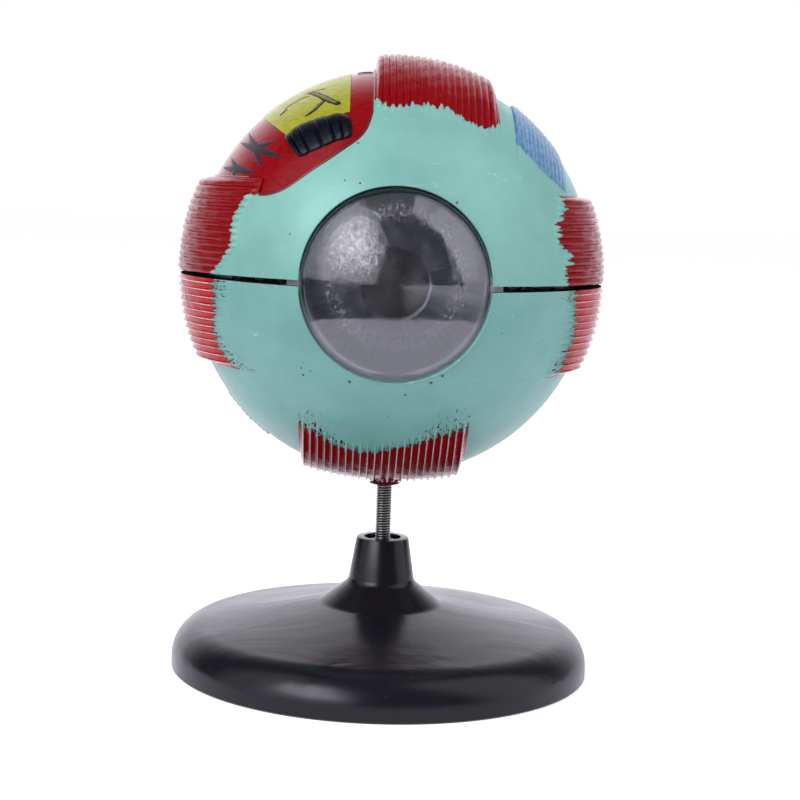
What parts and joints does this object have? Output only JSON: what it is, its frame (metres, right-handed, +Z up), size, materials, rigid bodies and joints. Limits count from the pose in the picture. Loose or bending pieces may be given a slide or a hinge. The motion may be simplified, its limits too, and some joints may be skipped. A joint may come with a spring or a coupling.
{
  "type": "eye anatomy model",
  "caption": "Take-apart eye model on a round black turntable foot: split teal sclera with ribbed red muscles, clear cornea, and lift-out iris, lens and vitreous body.",
  "frame": {"origin": "middle of the foot's resting rim, on the table and on the rod's axis", "axes": "+Z up along the rod, -Y the way the cornea looks, +X to the right of someone facing the cornea"},
  "size_m": [0.1588, 0.1745, 0.232],
  "materials": {
    "stand_black": "satin black moulded plastic",
    "zinc_steel": "dull zinc-plated steel",
    "brass_insert": "turned brass",
    "sclera_teal": "hand-painted teal enamel with small chips",
    "muscle_red": "brush-painted red enamel over ribs",
    "oblique_blue": "brush-painted blue enamel",
    "nerve_cream": "painted cream",
    "choroid_brown": "painted dark red inside",
    "choroid_red": "wet-looking red enamel",
    "retina_yellow": "painted yellow green",
    "pigment_navy": "thick navy black paint",
    "cornea_clear": "clear moulded acrylic",
    "iris_grey": "dark grey paint",
    "ciliary_brown": "dark brown moulded folds",
    "lens_clear": "clear cast acrylic",
    "vitreous_clear": "clear moulded acrylic"
  },
  "bodies": {
    "stand": {"stand_base": "stand_black"},
    "lower_globe": {"threaded_rod": "zinc_steel", "upper_washer": "zinc_steel", "upper_nut": "zinc_steel", "lower_washer": "zinc_steel", "lower_nut": "zinc_steel", "rod_collar": "muscle_red", "rod_insert": "brass_insert", "sclera_lower": "sclera_teal", "inferior_rectus": "muscle_red", "lateral_rectus_lower": "muscle_red", "medial_rectus_lower": "muscle_red", "inferior_oblique": "oblique_blue", "optic_nerve_lower": "nerve_cream", "choroid_lower": "choroid_brown", "locating_pins": "brass_insert"},
    "upper_globe": {"sclera_upper": "sclera_teal", "superior_rectus": "muscle_red", "lateral_rectus_upper": "muscle_red", "medial_rectus_upper": "muscle_red", "superior_oblique": "oblique_blue", "optic_nerve_upper": "nerve_cream", "choroid_upper": "choroid_brown", "choroid_panel": "choroid_red", "retina_panel": "retina_yellow", "pigment_ridge": "pigment_navy"},
    "cornea_cap": {"cornea": "cornea_clear"},
    "iris_disc": {"iris": "iris_grey", "ciliary_ring": "ciliary_brown"},
    "vitreous_body": {"vitreous_front": "vitreous_clear", "vitreous_rear": "vitreous_clear"},
    "lens_body": {"lens": "lens_clear"}
  },
  "joints": [
    {"name": "globe_swivel", "type": "hinge", "parent": "stand", "child": "lower_globe", "pos_m": [0, 0, 0.0425], "axis": [0, 0, 1], "continuous": true},
    {"name": "upper_lift", "type": "slide", "parent": "lower_globe", "child": "upper_globe", "axis": [0, 0, 1], "range_m": [0, 0.3]},
    {"name": "cornea_lift", "type": "slide", "parent": "lower_globe", "child": "cornea_cap", "axis": [0, 0, 1], "range_m": [0, 0.255]},
    {"name": "iris_lift", "type": "slide", "parent": "lower_globe", "child": "iris_disc", "axis": [0, 0, 1], "range_m": [0, 0.174]},
    {"name": "vitreous_lift", "type": "slide", "parent": "lower_globe", "child": "vitreous_body", "axis": [0, 0, 1], "range_m": [0, 0.066]},
    {"name": "lens_slide", "type": "slide", "parent": "vitreous_body", "child": "lens_body", "axis": [0, -1, 0], "range_m": [0, 0.0025]}
  ],
  "couplings": [
    {"joint": "cornea_lift", "follows": "upper_lift", "ratio": 0.85},
    {"joint": "iris_lift", "follows": "upper_lift", "ratio": 0.58},
    {"joint": "vitreous_lift", "follows": "upper_lift", "ratio": 0.22}
  ]
}
